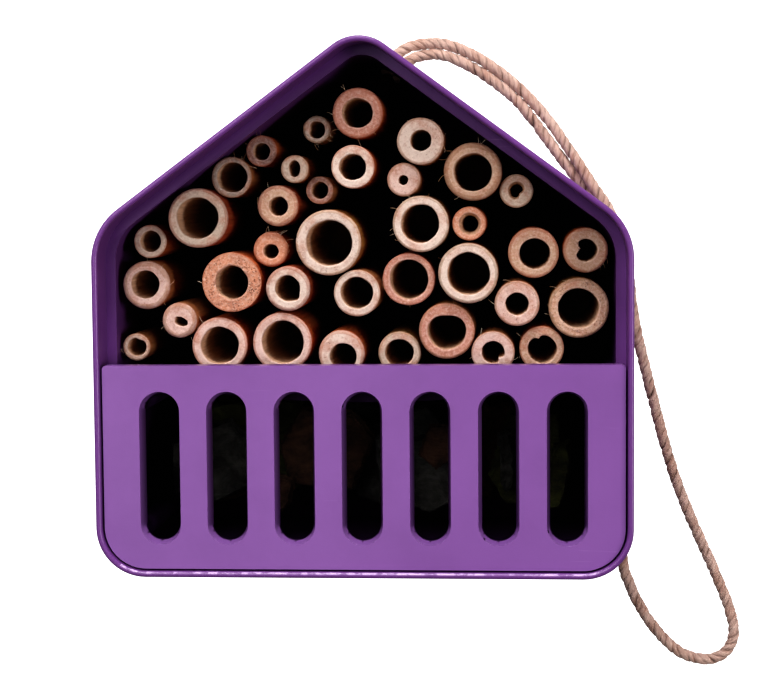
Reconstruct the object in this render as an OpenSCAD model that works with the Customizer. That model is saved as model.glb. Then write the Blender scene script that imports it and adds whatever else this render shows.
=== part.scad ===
// Insect hotel: a house-shaped plastic tub lying on its back. Bamboo canes fill the loft above
// a shelf, loose bark and wood fill the lower room behind a slotted cover, and a cord loop
// hangs the house up. Millimetres. +Z points out of the open front, +Y to the roof ridge and
// +X to the right as the front is looked at. The origin is the middle of the back face.

/* [House] */
// Width across the rim
house_w = 140; // [112:1:180]
// Height of the side walls, up to the line of the roof
eave_h = 91; // [76:1:120]
// Slope of the roof
roof_angle = 36.4; // [30:0.1:42]
// Depth from the back face to the front edge of the rim
house_d = 75; // [60:1:100]
// Rounding of the ridge
ridge_r = 11; // [8:0.5:16]
// Rounding of the eaves
eave_r = 17; // [10:0.5:24]
// Rounding of the bottom corners
base_r = 13; // [8:0.5:20]

/* [Tub] */
// Thickness of the rim band
rim_t = 1.6; // [1.2:0.1:2.4]
// Depth of the recess that the cover sits in
rim_depth = 11; // [8:0.5:14]
// Width of the ledge at the bottom of the recess
ledge_w = 2.6; // [2:0.1:4]
// Thickness of the tub wall and the ledge
wall_t = 1.8; // [1.4:0.1:2.4]
// Thickness of the back
back_t = 2; // [1.5:0.1:3]

/* [Cover] */
// Height of the cover's top edge above the base
cover_h = 55.5; // [46:0.5:66]
// How far the cover sits below the rim's front edge
cover_recess = 1.5; // [0.5:0.1:3]
// Gap between the cover and the rim
cover_gap = 0.5; // [0.3:0.1:1]
// Thickness of the cover's face
cover_t = 2.2; // [1.8:0.1:3]
// Thickness of the cover's side skirt
skirt_t = 1.5; // [1.2:0.1:2]
// Rounding of the cover's two top corners
cover_corner_r = 1; // [0.5:0.1:2]
// Number of slots
slots = 7; // [3:1:9]
// Width of a slot at the front
slot_w = 10.6; // [8:0.1:12]
// Clear face left and right of the row of slots
slot_side = 9.6; // [8:0.1:12]
// Clear face above the slots
slot_top = 6.8; // [5:0.1:9]
// Clear face below the slots
slot_base = 6.4; // [6:0.1:10]
// Depth of the slots' walls
slot_depth = 4.5; // [3:0.1:6]
// How much each slot wall leans in towards the back
slot_draft = 0.9; // [0:0.1:1.2]

/* [Cover pegs] */
// Radius of a peg
peg_r = 1.5; // [1.2:0.1:2]
// Gap round a peg in its socket
peg_gap = 0.1; // [0.05:0.01:0.2]
// How far a peg reaches into its socket
peg_l = 8; // [5:0.5:12]
// Wall round a socket
socket_t = 1.4; // [1:0.1:2]

/* [Shelf] */
// Thickness of the shelf
shelf_t = 2; // [1.6:0.1:3]
// Step from the cover's top edge down to the top of the shelf
shelf_drop = 4; // [3:0.5:6]
// Depth of the shelf's front lip at the middle
shelf_lip = 6.4; // [4:0.1:8]
// Radius of the arch under the front lip
shelf_arch_r = 350; // [300:10:600]
// Clearance at the shelf's edges
shelf_gap = 0.2; // [0.1:0.05:0.4]
// Size of the runners that hold the shelf
runner = 2; // [1.5:0.1:3]

/* [Hanging cord] */
// Diameter of the cord
cord_d = 3; // [2:0.1:3.4]
// Distance between the two strands where they leave the house
strand_pitch = 3.3; // [3.1:0.1:6]
// Height of the cord hole above the back face
cord_hole_z = 5; // [4.5:0.1:7]
// Sideways offset of the cord hole from the ridge
cord_hole_x = 4.6; // [3:0.1:7]
// Radius of the knot
knot_r = 3.8; // [3:0.1:4.2]

/* [Hidden] */
$fn = 96;
eps = 0.01;
purple = [0.55, 0.35, 0.65];
cane_color = [0.87, 0.74, 0.60];
bark_color = [0.66, 0.58, 0.46];
cord_color = [0.84, 0.71, 0.62];

// Canes: x from the middle, y above the shelf, outer diameter, bore, and how far the cut end sits
// behind the rim's front edge
CANES = [
  [-12.6, 65.2, 7.5, 4.5, 17], [-1.3, 69.2, 13.5, 8, 12], [-27.4, 59.7, 8.5, 4.5, 17],
  [-18.1, 54.8, 7.5, 3.5, 13], [-35.2, 52.8, 11, 8, 15], [-12, 49.2, 7.5, 4.5, 17],
  [-2.5, 55.2, 11.5, 7, 10], [-22.6, 45.2, 11, 5, 12], [-43.6, 42.1, 16, 11, 11],
  [-9.1, 35.5, 17.5, 12, 10], [-57.2, 36, 9, 5.5, 15], [-24.8, 33.7, 9.5, 4, 14],
  [-57.9, 24.5, 13, 7.5, 12], [-34.9, 25.2, 16, 8.5, 11], [-19.9, 23.5, 12, 6.5, 10],
  [-1.8, 22.2, 12.5, 8.5, 11], [-49, 15.2, 9.5, 3, 11], [-61.2, 7.9, 7.5, 5, 14],
  [-38.5, 8.5, 15, 10, 12], [-21.7, 9.3, 16, 11, 11], [-6, 6.3, 12.5, 7, 11],
  [15.2, 61.7, 12.5, 5.5, 10], [28.7, 53.7, 15.5, 10, 12], [10.6, 51.8, 9, 2.5, 13],
  [40, 48.6, 9, 4.5, 15], [15.1, 40.2, 15, 10, 11], [27.7, 40.2, 9, 5.5, 12], [44.4, 32.5, 13.5, 8, 12],
  [58, 33, 12, 6, 14], [11.8, 25.7, 14, 10, 12], [27.4, 27.3, 16, 11, 10], [40.1, 19.3, 12, 6, 11],
  [56.2, 18, 16, 10.5, 12], [21.7, 12.1, 15, 10, 12], [9.1, 6.2, 11.5, 7.5, 14],
  [33.8, 6.4, 11.5, 6, 11], [46.5, 7.3, 12, 7.5, 14]
];
// Least room between the bundle and what is round it
cane_gap = 0.1;
// Wall that closes each cane at the back, where the stem has its natural joint
cane_floor = 5;

// Bark and wood pieces, laid out for a lower room of the size in fill_room: x from the middle,
// y above the base wall, height of the underside above the back, length, width, thickness, turn.
fill_room = [131.6, 45.3];
FILL = [
  [-44, 21, 0, 34, 34, 12, 8], [-9, 22, 0, 32, 36, 12, 94], [24, 21, 0, 28, 36, 12, 176],
  [47, 24, 0, 17, 36, 12, 4], [-36, 24, 12, 44, 32, 12, -4], [8, 20, 12, 36, 32, 12, 12],
  [42, 23, 12, 26, 34, 12, 186], [-46, 20, 24, 30, 26, 10, 14], [-14, 24, 24, 30, 28, 10, 168],
  [16, 18, 24, 26, 26, 10, 20], [43, 22, 24, 24, 32, 10, -10], [-50, 14, 34, 9, 16, 7, 24],
  [-28, 12, 34, 14, 18, 8, -30], [4, 22, 34, 9, 20, 9, 10], [18, 26, 34, 16, 13, 7, 62],
  [37, 22, 34, 8, 22, 8, 4], [51, 18, 34, 10, 24, 6, -8]
];
// Outline of a broken piece, as shares of its length and width
chip_outline = [[-0.5, -0.25], [-0.2, -0.5], [0.35, -0.42], [0.5, 0.05], [0.3, 0.5], [-0.38, 0.4]];

// Route of the cord's middle, from the knot round the loop and back to it
cord_route = [
  [1.5, 64.4, 5], [3.2, 67.2, 4.9], [5.6, 70.3, 4.1], [9.6, 72.5, 2.8], [17.6, 73.2, 1.7],
  [25.5, 70.6, 1.6], [34.8, 64.8, 1.6], [43.5, 57.1, 1.6], [50.6, 48.5, 1.8], [56.8, 39.3, 3.3],
  [61.6, 31.9, 4.6], [66.5, 24.3, 4.7], [70, 15.5, 4.7], [72.2, 5, 3.5], [73.2, -3.5, 1.7],
  [75.6, -15.5, 1.6], [83.4, -46, 1.6], [89.5, -63.5, 1.6], [96.5, -79.5, 1.6], [101.7, -92.5, 1.6],
  [103, -101, 1.6], [99.5, -106.6, 1.6], [93, -107.8, 1.6], [85.5, -104.5, 1.6], [78.2, -96.2, 1.6],
  [72.7, -85.8, 1.6], [70.2, -74, 1.6], [69.6, -30, 1.6], [69.6, 8, 1.6], [67.6, 20, 1.6],
  [61.4, 29, 1.6], [54.7, 37, 1.6], [41.5, 54.6, 1.6], [32.9, 62.2, 1.6], [24.1, 67.7, 1.6],
  [17, 70, 1.8], [11.4, 69.5, 3], [8.2, 67.8, 4.3], [5.9, 65.3, 5], [4.4, 62.8, 5]
];
// Rings between two points of the route, and sides of each ring
cord_steps = 2;
cord_sides = 8;

// The roof line is sin * |x| + cos * y = roof_c, with y counted from the base
roof_n = [sin(roof_angle), cos(roof_angle)];
roof_c = roof_n * [house_w / 2, eave_h];
ridge_y = (roof_c - ridge_r) / roof_n.y;
eave_x = house_w / 2 - eave_r;
eave_y = (roof_c - eave_r - roof_n.x * eave_x) / roof_n.y;
base_x = house_w / 2 - base_r;
house_h = ridge_y + ridge_r;

ledge_z = house_d - rim_depth;
tub_out = rim_t + ledge_w - wall_t;
tub_in = rim_t + ledge_w;
room_w = house_w - 2 * tub_in;

cover_inset = rim_t + cover_gap;
cover_w = house_w - 2 * cover_inset;
cover_z = house_d - cover_recess;
slot_pitch = (cover_w - 2 * slot_side - slot_w) / (slots - 1);
slot_y0 = cover_inset + slot_base;
slot_y1 = cover_h - slot_top;

shelf_y = cover_h - shelf_drop;
shelf_front = ledge_z + 2;
shelf_w = room_w - 2 * shelf_gap;
socket_r = peg_r + peg_gap + socket_t;
socket_x = room_w / 2 - socket_r - 0.9;
socket_y = [tub_in + socket_r + 2.5, shelf_y - shelf_t - runner - socket_r];

// Size of the filling against the room that it was laid out for
lower_h = shelf_y - shelf_t - tub_in;
fill_fit = min(1, room_w / fill_room.x, lower_h / fill_room.y);

// The cord hole is square to the right-hand roof wall; the knot lies behind its inner face
hole_y = let (r = ridge_r - tub_out, x = cord_hole_x)
  x < roof_n.x * r ? ridge_y + sqrt(r * r - x * x) : (roof_c - tub_out - roof_n.x * x) / roof_n.y;
knot_back = wall_t + knot_r + 0.2;
knot_at = [cord_hole_x - knot_back * roof_n.x, hole_y - knot_back * roof_n.y, back_t + knot_r + 0.2];

// Size of the cane bundle against the room above the shelf: its width, the slope of the roof,
// and the height under the knot
loft_w = room_w - 2 * cane_gap;
loft_slope = roof_c - tub_in - cane_gap - roof_n.y * shelf_y;
loft_top = knot_at.y - knot_r - cane_gap - shelf_y;
cane_w = max([for (c = CANES) 2 * abs(c.x) + c[2]]);
cane_slope = max([for (c = CANES) roof_n * [abs(c.x), c.y] + c[2] / 2]);
cane_top = max([for (c = CANES) c.y + c[2] / 2]);
cane_fit = min(1, loft_w / cane_w, loft_slope / cane_slope, loft_top / cane_top);

function two_digits(i) = i < 9 ? str("0", i + 1) : str(i + 1);
cane_names = [for (i = [0:len(CANES) - 1]) str("cane_", two_digits(i))];
fill_names = [for (i = [0:len(FILL) - 1]) str("filling_", two_digits(i))];

// Puts what is drawn from the base upwards into the part's frame
module from_base() {
  translate([0, -house_h / 2, 0]) children();
}

// Straight-sided body with the house outline, drawn in by inset
module house(inset, z0, z1) {
  arcs = [
    [[base_x, base_r], base_r - inset, [[0, -1], [1, 0]]],
    [[eave_x, eave_y], eave_r - inset, [[1, 0], roof_n]],
    [[0, ridge_y], ridge_r - inset, [roof_n]]
  ];
  right = [for (a = arcs) for (n = a[2]) a[0] + a[1] * n];
  left = [for (i = [len(right) - 1:-1:0]) [-right[i].x, right[i].y]];
  translate([0, 0, z0]) {
    linear_extrude(z1 - z0) polygon(concat(right, left));
    for (a = arcs) {
      for (side = a[0].x > 0 ? [-1, 1] : [1]) {
        translate([side * a[0].x, a[0].y, 0]) cylinder(h = z1 - z0, r = a[1]);
      }
    }
  }
}

module at_sockets() {
  for (side = [-1, 1]) {
    for (y = socket_y) {
      translate([side * socket_x, y, 0]) children();
    }
  }
}

// Round socket for a peg, tied to the side wall by a web
module socket_post(side) {
  cylinder(h = ledge_z - back_t, r = socket_r);
  web = room_w / 2 - socket_x + eps;
  translate([side > 0 ? 0 : -web, -wall_t / 2, 0]) cube([web, wall_t, ledge_z - back_t]);
}

// Pair of runners on one side wall, one above and one below the shelf
module shelf_runners(side) {
  gap = shelf_gap;
  x = room_w / 2 - runner;
  for (y = [shelf_y + gap, shelf_y - shelf_t - gap - runner]) {
    translate([side > 0 ? x : -x - runner - eps, y, back_t - eps]) {
      cube([runner + eps, runner, ledge_z - back_t + eps]);
    }
  }
}

// Oblong hole through the roof wall for the cord's two strands
module cord_hole() {
  translate([cord_hole_x, hole_y, cord_hole_z]) rotate([0, 0, -roof_angle]) {
    for (side = [-1, 1]) {
      translate([side * strand_pitch / 2, -2 * wall_t, 0]) rotate([-90, 0, 0]) {
        cylinder(h = 4 * wall_t, r = cord_d / 2 + 0.3);
      }
    }
    cube([strand_pitch, 8 * wall_t, cord_d + 0.6], center = true);
  }
}

module casing() {
  color(purple) from_base() difference() {
    union() {
      difference() {
        union() {
          house(tub_out, 0, ledge_z);
          house(0, ledge_z - wall_t, house_d);
        }
        house(tub_in, back_t, house_d + eps);
        house(rim_t, ledge_z, house_d + eps);
      }
      for (side = [-1, 1]) {
        shelf_runners(side);
        for (y = socket_y) {
          translate([side * socket_x, y, back_t - eps]) socket_post(side);
        }
      }
    }
    at_sockets() translate([0, 0, ledge_z - peg_l - 1]) cylinder(h = peg_l + 2, r = peg_r + peg_gap);
    cord_hole();
  }
}

// Slot with round ends, narrower at the back; grow adds a wall round it
module slot_body(grow, z0, z1, draft) {
  r1 = slot_w / 2 - draft + grow;
  r2 = slot_w / 2 + grow;
  y0 = slot_y0 + slot_w / 2;
  y1 = slot_y1 - slot_w / 2;
  translate([0, 0, z0]) {
    for (y = [y0, y1]) {
      translate([0, y, 0]) cylinder(h = z1 - z0, r1 = r1, r2 = r2);
    }
    translate([0, y1, 0]) rotate([90, 0, 0]) linear_extrude(y1 - y0) {
      polygon([[-r1, 0], [r1, 0], [r2, z1 - z0], [-r2, z1 - z0]]);
    }
  }
}

// Part of the house outline below the cover's top edge, with small round top corners
module cover_body(inset, z0, z1, top) {
  half = house_w / 2 - inset;
  r = cover_corner_r;
  intersection() {
    house(inset, z0, z1);
    union() {
      translate([-half, 0, z0]) cube([2 * half, top - r, z1 - z0]);
      translate([-half + r, 0, z0]) cube([2 * (half - r), top, z1 - z0]);
      for (side = [-1, 1]) {
        translate([side * (half - r), top - r, z0]) cylinder(h = z1 - z0, r = r);
      }
    }
  }
}

module front_cover() {
  rows = [for (i = [0:slots - 1]) (i - (slots - 1) / 2) * slot_pitch];
  color(purple) from_base() difference() {
    union() {
      difference() {
        cover_body(cover_inset, ledge_z, cover_z, cover_h);
        cover_body(cover_inset + skirt_t, ledge_z - eps, cover_z - cover_t, cover_h + 10);
        translate([-house_w / 2, cover_h - skirt_t, ledge_z - eps]) {
          cube([house_w, skirt_t + eps, rim_depth - cover_recess - slot_depth]);
        }
      }
      translate([-cover_w / 2 + skirt_t / 2, cover_h - skirt_t, cover_z - slot_depth]) {
        cube([cover_w - skirt_t, skirt_t, slot_depth - cover_t + eps]);
      }
      for (x = rows) {
        translate([x, 0, 0]) slot_body(skirt_t, cover_z - slot_depth, cover_z - eps, slot_draft);
      }
      at_sockets() translate([0, 0, ledge_z - peg_l]) {
        cylinder(h = cover_z - cover_t - ledge_z + peg_l + eps, r = peg_r);
      }
    }
    for (x = rows) {
      translate([x, 0, 0]) slot_body(0, cover_z - slot_depth, cover_z, slot_draft);
      translate([x, 0, 0]) slot_body(-slot_draft, cover_z - slot_depth - 1, cover_z - slot_depth + eps, 0);
      translate([x, 0, 0]) slot_body(0, cover_z - eps, cover_z + 1, 0);
    }
  }
}

module shelf() {
  lip_low = shelf_y - shelf_lip;
  color(purple) from_base() {
    translate([-shelf_w / 2, shelf_y - shelf_t, back_t + shelf_gap]) {
      cube([shelf_w, shelf_t, shelf_front - back_t - shelf_gap]);
    }
    intersection() {
      lip_w = shelf_w - 4 * socket_r;
      translate([-lip_w / 2, lip_low, shelf_front - shelf_t]) {
        cube([lip_w, shelf_lip, shelf_t]);
      }
      translate([0, lip_low + shelf_arch_r, shelf_front - shelf_t]) {
        cylinder(h = shelf_t, r = shelf_arch_r, $fn = 360);
      }
    }
  }
}

module cane(i) {
  c = CANES[i];
  r = c[2] / 2 * cane_fit;
  bore = c[3] / 2 * cane_fit;
  length = house_d - c[4] - back_t;
  color(cane_color) from_base() {
    translate([c.x * cane_fit, shelf_y + c.y * cane_fit, back_t]) difference() {
      cylinder(h = length, r = r, $fn = 48);
      translate([0, 0, cane_floor]) cylinder(h = length, r = bore, $fn = 48);
    }
  }
}

module filling(i) {
  f = FILL[i];
  size = [f[3], f[4]] * fill_fit;
  color(bark_color) from_base() {
    translate([f.x * fill_fit, tub_in + f.y * fill_fit, back_t + f.z]) rotate(f[6]) {
      linear_extrude(f[5]) polygon([for (p = chip_outline) [p.x * size.x, p.y * size.y]]);
    }
  }
}

module cord_knot() {
  color(cord_color) from_base() translate(knot_at) sphere(r = knot_r, $fn = 48);
}

// Smooth curve through the route: point at share t between points i and i + 1
function route_at(i, t) =
  let (
    n = len(cord_route) - 1,
    a = cord_route[max(i - 1, 0)],
    b = cord_route[i],
    c = cord_route[min(i + 1, n)],
    d = cord_route[min(i + 2, n)]
  )
  0.5 * (2 * b + (c - a) * t + (2 * a - 5 * b + 4 * c - d) * t * t
    + (3 * b - a - 3 * c + d) * t * t * t);

cord_line = [
  for (i = [0:len(cord_route) - 2])
    for (k = [0:cord_steps - 1])
      if (i + k / cord_steps < len(cord_route) - 1) route_at(i, k / cord_steps),
  cord_route[len(cord_route) - 1]
];

function unit(v) = v / norm(v);
function cord_way(i) = unit(cord_line[min(i + 1, len(cord_line) - 1)] - cord_line[max(i - 1, 0)]);
function cord_ring(i) =
  let (
    way = cord_way(i),
    side = unit(cross(way, [0, 0, 1])),
    up = cross(side, way)
  )
  [for (k = [0:cord_sides - 1])
    let (a = (k + 0.5) * 360 / cord_sides)
    cord_line[i] + cord_d / 2 * (cos(a) * side + sin(a) * up)];

module hanging_cord() {
  rings = len(cord_line);
  points = [for (i = [0:rings - 1]) each cord_ring(i)];
  walls = [
    for (i = [0:rings - 2])
      for (k = [0:cord_sides - 1])
        let (a = i * cord_sides + k, b = i * cord_sides + (k + 1) % cord_sides)
        [a, b, b + cord_sides, a + cord_sides]
  ];
  start = [for (k = [cord_sides - 1:-1:0]) k];
  end = [for (k = [0:cord_sides - 1]) (rings - 1) * cord_sides + k];
  color(cord_color) polyhedron(points, concat(walls, [start, end]));
}

casing();
front_cover();
shelf();
cord_knot();
hanging_cord();
for (i = [0:len(CANES) - 1]) {
  cane(i);
}
for (i = [0:len(FILL) - 1]) {
  filling(i);
}
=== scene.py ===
"""Insect hotel: a purple moulded tub shaped like a house, lying on its back on a white table.

Bamboo canes fill the loft, bark lies behind a slotted push-fit cover, and a twisted cord hangs
the house up. Lengths are in metres unless a name or a comment says millimetres.
"""

import math

import bmesh
import bpy
import numpy as np
from mathutils import Matrix, Vector


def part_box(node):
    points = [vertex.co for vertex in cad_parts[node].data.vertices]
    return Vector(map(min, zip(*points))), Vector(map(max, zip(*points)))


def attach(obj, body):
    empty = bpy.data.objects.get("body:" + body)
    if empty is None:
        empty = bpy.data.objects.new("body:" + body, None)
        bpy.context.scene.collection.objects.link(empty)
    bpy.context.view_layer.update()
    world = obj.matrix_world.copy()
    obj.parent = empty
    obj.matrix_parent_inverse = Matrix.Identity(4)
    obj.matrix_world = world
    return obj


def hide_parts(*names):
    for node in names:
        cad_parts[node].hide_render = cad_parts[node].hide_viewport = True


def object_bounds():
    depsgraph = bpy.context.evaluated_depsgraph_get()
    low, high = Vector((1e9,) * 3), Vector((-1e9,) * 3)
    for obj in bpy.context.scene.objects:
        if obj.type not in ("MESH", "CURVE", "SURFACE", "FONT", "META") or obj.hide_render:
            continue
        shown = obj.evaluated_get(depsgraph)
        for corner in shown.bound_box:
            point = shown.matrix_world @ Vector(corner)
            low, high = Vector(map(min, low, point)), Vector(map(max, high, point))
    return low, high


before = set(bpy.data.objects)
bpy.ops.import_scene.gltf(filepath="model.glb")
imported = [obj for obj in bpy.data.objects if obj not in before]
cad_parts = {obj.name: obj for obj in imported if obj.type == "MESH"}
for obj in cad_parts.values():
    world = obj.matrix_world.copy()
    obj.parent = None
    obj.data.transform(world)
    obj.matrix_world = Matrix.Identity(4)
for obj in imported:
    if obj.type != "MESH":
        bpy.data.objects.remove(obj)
CAD_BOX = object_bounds()

MM = 0.001
TURN = 2 * math.pi

# ---- camera, table and lamps

CAMERA_AT = (43.3 * MM, 28.8 * MM, 568.5 * MM)
CAMERA_WAY = (-0.0726, -0.0765, -1.0)
CAMERA_ROLL = 0.008
CAMERA_LENS = 89.3


def make_camera():
    data = bpy.data.cameras.new("camera")
    data.lens = CAMERA_LENS
    data.sensor_width = 36
    data.clip_start = 0.01
    data.clip_end = 10
    way = Vector(CAMERA_WAY).normalized()
    right = way.cross(Vector((math.sin(CAMERA_ROLL), math.cos(CAMERA_ROLL), 0))).normalized()
    up = right.cross(way)
    turn = Matrix((right, up, -way)).transposed()
    camera = bpy.data.objects.new("camera", data)
    camera.matrix_world = Matrix.Translation(CAMERA_AT) @ turn.to_4x4()
    bpy.context.scene.collection.objects.link(camera)
    bpy.context.scene.camera = camera


def make_lamp(name, at, aim, size, watts, colour):
    """A softbox at one place, facing another."""
    data = bpy.data.lights.new(name, "AREA")
    data.shape = "RECTANGLE"
    data.size, data.size_y = size
    data.energy = watts
    data.color = colour
    lamp = bpy.data.objects.new(name, data)
    lamp.location = at
    lamp.rotation_euler = (Vector(aim) - Vector(at)).to_track_quat("-Z", "Y").to_euler()
    bpy.context.scene.collection.objects.link(lamp)


make_camera()
make_lamp("softbox_key", (-0.36, 0.62, 0.82), (0, 0, 0.05), (0.75, 0.75), 5.2, (1, 0.985, 0.965))
make_lamp("softbox_fill", (-0.4, 0.2, 1.1), (0, 0, 0.05), (0.6, 0.6), 1.8, (1, 1, 1))
make_lamp("softbox_side", (1.3, -0.1, 1.1), (0.05, 0, 0), (0.5, 0.5), 9.6, (1, 0.97, 0.95))
make_lamp("softbox_edge", (0.03, 1.05, 0.5), (0, 0, 0.07), (0.5, 0.07), 6.5, (1, 1, 1))

world = bpy.data.worlds.new("studio")
world.use_nodes = True
world.node_tree.nodes["Background"].inputs["Color"].default_value = (0.93, 0.95, 1, 1)
world.node_tree.nodes["Background"].inputs["Strength"].default_value = 0.13
bpy.context.scene.world = world
bpy.context.scene.view_settings.view_transform = "Standard"
bpy.context.scene.view_settings.look = "High Contrast"
bpy.context.scene.view_settings.exposure = -0.14

# ---- writing node trees


class Wire:
    """An output in a node tree that takes part in sums."""

    def __init__(self, tree, socket):
        self.tree = tree
        self.socket = socket

    def __add__(self, other):
        return calc(self.tree, "ADD", self, other)

    def __sub__(self, other):
        return calc(self.tree, "SUBTRACT", self, other)

    def __mul__(self, other):
        return calc(self.tree, "MULTIPLY", self, other)

    def __truediv__(self, other):
        return calc(self.tree, "DIVIDE", self, other)

    def __pow__(self, other):
        return calc(self.tree, "POWER", self, other)

    def __radd__(self, other):
        return calc(self.tree, "ADD", other, self)

    def __rsub__(self, other):
        return calc(self.tree, "SUBTRACT", other, self)

    def __rmul__(self, other):
        return calc(self.tree, "MULTIPLY", other, self)


def plug(tree, value, socket):
    """Joins a value or an output to an input."""
    if isinstance(value, Wire):
        value = value.socket
    if isinstance(value, bpy.types.NodeSocket):
        tree.links.new(value, socket)
    else:
        socket.default_value = value


def node(tree, kind, inputs=None, **settings):
    """A new node with its settings made and its inputs joined up."""
    made = tree.nodes.new(kind)
    for name, value in settings.items():
        setattr(made, name, value)
    for key, value in (inputs or {}).items():
        plug(tree, value, made.inputs[key])
    return made


def out(tree, kind, inputs=None, output=0, **settings):
    """One output of a new node."""
    return Wire(tree, node(tree, kind, inputs, **settings).outputs[output])


def calc(tree, operation, *values, clamp=False):
    return out(tree, "ShaderNodeMath", dict(enumerate(values)), operation=operation, use_clamp=clamp)


def ramp(tree, value, low, high, to_low=0.0, to_high=1.0):
    """Eases from to_low to to_high as value goes from low to high."""
    inputs = {"Value": value, 1: low, 2: high, 3: to_low, 4: to_high}
    return out(tree, "ShaderNodeMapRange", inputs, interpolation_type="SMOOTHSTEP")


def vector(tree, x, y, z):
    return out(tree, "ShaderNodeCombineXYZ", {0: x, 1: y, 2: z})


def parts(tree, value):
    split = node(tree, "ShaderNodeSeparateXYZ", {0: value})
    return [Wire(tree, socket) for socket in split.outputs]


def shift(tree, value, other, operation="ADD"):
    return out(tree, "ShaderNodeVectorMath", {0: value, 1: other}, operation=operation)


def noise(tree, at, scale, detail=2.0, roughness=0.5, distortion=0.0):
    inputs = {"Vector": at, "Scale": scale, "Detail": detail, "Roughness": roughness}
    return out(tree, "ShaderNodeTexNoise", {**inputs, "Distortion": distortion})


def mixed(tree, share, a, b):
    """Colour a going to colour b."""
    inputs = {0: share, 6: a, 7: b}
    return out(tree, "ShaderNodeMix", inputs, 2, data_type="RGBA", blend_type="MIX")


def new_tree(name, kind, inputs, outputs):
    """An empty tree with named inputs and outputs; returns it, its inputs and its output node."""
    tree = bpy.data.node_groups.new(name, kind)
    for side, sockets in (("INPUT", inputs), ("OUTPUT", outputs)):
        for label, socket_kind, *start in sockets:
            made = tree.interface.new_socket(label, in_out=side, socket_type="NodeSocket" + socket_kind)
            if start:
                made.default_value = start[0]
    given = tree.nodes.new("NodeGroupInput")
    taken = {socket.name: Wire(tree, socket) for socket in given.outputs if socket.name}
    return tree, taken, tree.nodes.new("NodeGroupOutput")


def use_group(tree, group, **inputs):
    """Puts a shader group into a material; returns its outputs by name."""
    made = tree.nodes.new("ShaderNodeGroup")
    made.node_tree = group
    for name, value in inputs.items():
        plug(tree, value, made.inputs[name])
    return {socket.name: Wire(tree, socket) for socket in made.outputs}


def rgb(red, green, blue):
    """Colour from screen values 0-255."""
    value = [c / 255 for c in (red, green, blue)]
    return tuple(c / 12.92 if c <= 0.04045 else ((c + 0.055) / 1.055) ** 2.4 for c in value) + (1,)


# ---- shared effects


def speckle_group():
    """Dark ends of the wood's vessels on a sawn face."""
    tree, given, result = new_tree(
        "vessel_speckle",
        "ShaderNodeTree",
        [("Vector", "Vector"), ("Scale", "Float", 1300.0), ("Density", "Float", 0.5)],
        [("Mask", "Float")],
    )
    cells = node(tree, "ShaderNodeTexVoronoi", {"Vector": given["Vector"], "Scale": given["Scale"]})
    where = noise(tree, given["Vector"], 420.0, 3.0, 0.6)
    radius = ramp(tree, where, 0.3, 0.7, 0.12, 0.34) * given["Density"] * 2
    spot = calc(tree, "SUBTRACT", 1.0, Wire(tree, cells.outputs["Distance"]) / radius, clamp=True)
    plug(tree, ramp(tree, spot, 0.0, 0.6), result.inputs["Mask"])
    return tree


def streak_group():
    """Fine fibres along one axis: squash the vector along the grain before it comes in."""
    tree, given, result = new_tree(
        "fibre_streaks",
        "ShaderNodeTree",
        [("Vector", "Vector"), ("Fineness", "Float", 900.0), ("Softness", "Float", 0.5)],
        [("Streak", "Float"), ("Broad", "Float")],
    )
    fine = noise(tree, given["Vector"], given["Fineness"], 4.0, given["Softness"], 0.3)
    broad = noise(tree, given["Vector"], given["Fineness"] * 0.22, 2.0, 0.5)
    plug(tree, ramp(tree, fine, 0.28, 0.72), result.inputs["Streak"])
    plug(tree, broad, result.inputs["Broad"])
    return tree


def wear_group():
    """Edges rubbed a little paler, in broken stretches."""
    tree, given, result = new_tree(
        "edge_wear",
        "ShaderNodeTree",
        [("Vector", "Vector"), ("Radius", "Float", 0.0006), ("Amount", "Float", 0.5)],
        [("Mask", "Float")],
    )
    bevel = node(tree, "ShaderNodeBevel", {"Radius": given["Radius"]}, samples=6)
    plain = node(tree, "ShaderNodeNewGeometry")
    agree = node(
        tree,
        "ShaderNodeVectorMath",
        {0: bevel.outputs[0], 1: plain.outputs["Normal"]},
        operation="DOT_PRODUCT",
    )
    edge = ramp(tree, Wire(tree, agree.outputs["Value"]), 0.995, 0.86)
    broken = ramp(tree, noise(tree, given["Vector"], 260.0, 4.0, 0.6), 0.35, 0.68)
    plug(tree, edge * broken * given["Amount"], result.inputs["Mask"])
    return tree


def scuff_group():
    """Sparse short scratches and dull spots on plastic."""
    tree, given, result = new_tree(
        "handling_scuffs",
        "ShaderNodeTree",
        [("Vector", "Vector"), ("Amount", "Float", 0.5)],
        [("Scratch", "Float"), ("Dull", "Float")],
    )
    lines = None
    for angle, stretch in ((0.5, 34.0), (-0.9, 26.0), (1.9, 40.0)):
        turned = out(
            tree,
            "ShaderNodeMapping",
            {"Vector": given["Vector"], "Rotation": (0, 0, angle), "Scale": (stretch, 1100, 300)},
        )
        line = ramp(tree, noise(tree, turned, 1.0, 1.0, 0.4), 0.72, 0.78)
        lines = line if lines is None else calc(tree, "MAXIMUM", lines, line)
    patch = ramp(tree, noise(tree, given["Vector"], 55.0, 3.0, 0.55), 0.54, 0.7)
    plug(tree, lines * patch * given["Amount"], result.inputs["Scratch"])
    dull = ramp(tree, noise(tree, given["Vector"], 90.0, 5.0, 0.6), 0.4, 0.75)
    plug(tree, dull * given["Amount"], result.inputs["Dull"])
    return tree


SPECKLE = speckle_group()
STREAKS = streak_group()
WEAR = wear_group()
SCUFFS = scuff_group()

# ---- finishes


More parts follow.
